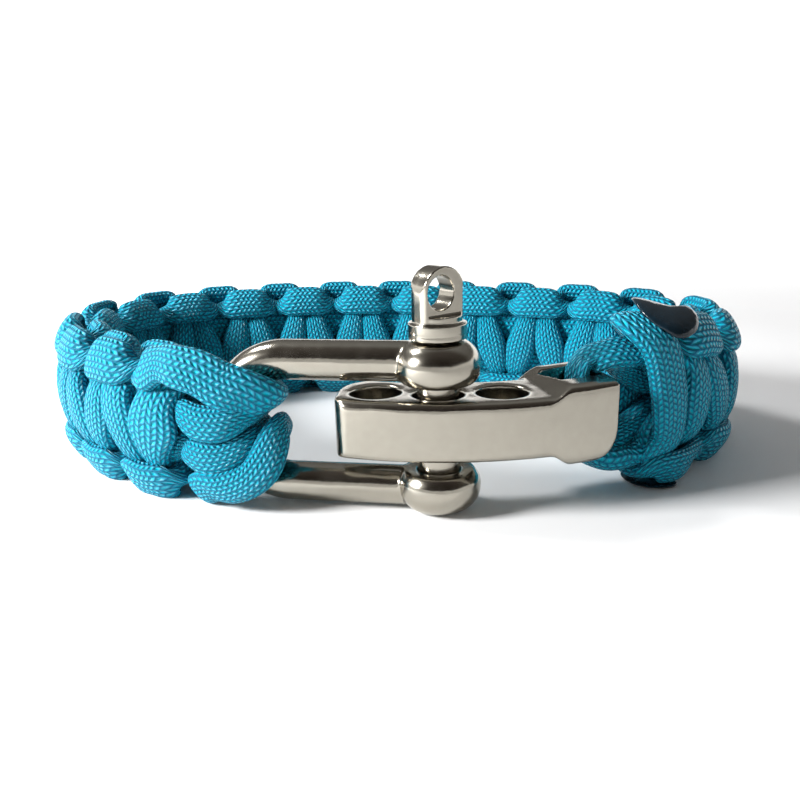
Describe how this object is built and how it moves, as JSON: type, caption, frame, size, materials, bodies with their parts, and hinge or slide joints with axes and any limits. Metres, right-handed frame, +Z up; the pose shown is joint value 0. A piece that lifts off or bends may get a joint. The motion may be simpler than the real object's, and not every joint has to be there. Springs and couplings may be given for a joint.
{
  "type": "paracord bracelet",
  "caption": "Closed cobra-weave cord bracelet with a steel bow shackle, cross pin and curved adjuster bar, lying on its edge.",
  "frame": {"origin": "on the surface that the bracelet lies on, below the middle of its outline", "axes": "+Z is up, across the width of the band; +X runs along the longer way across the loop, towards the slotted end of the adjuster; the shackle and adjuster are on the -Y side"},
  "size_m": [0.1007, 0.0648, 0.0288],
  "materials": {
    "steel": "polished cast stainless steel",
    "cord": "braided nylon, turquoise with a slight sheen",
    "melted_nylon": "melted and set, near black"
  },
  "bodies": {
    "bracelet": {"shackle_bow": "steel", "adjuster_bar": "steel", "weave_cord_upper": "cord", "weave_cord_lower": "cord", "core_cord": "cord", "melted_tip_upper": "melted_nylon", "melted_tip_lower": "melted_nylon"},
    "pin": {"shackle_pin": "steel"}
  },
  "joints": [
    {"name": "pin_slide", "type": "slide", "parent": "bracelet", "child": "pin", "axis": [0, 0, 1], "range_m": [0, 0.024]}
  ]
}
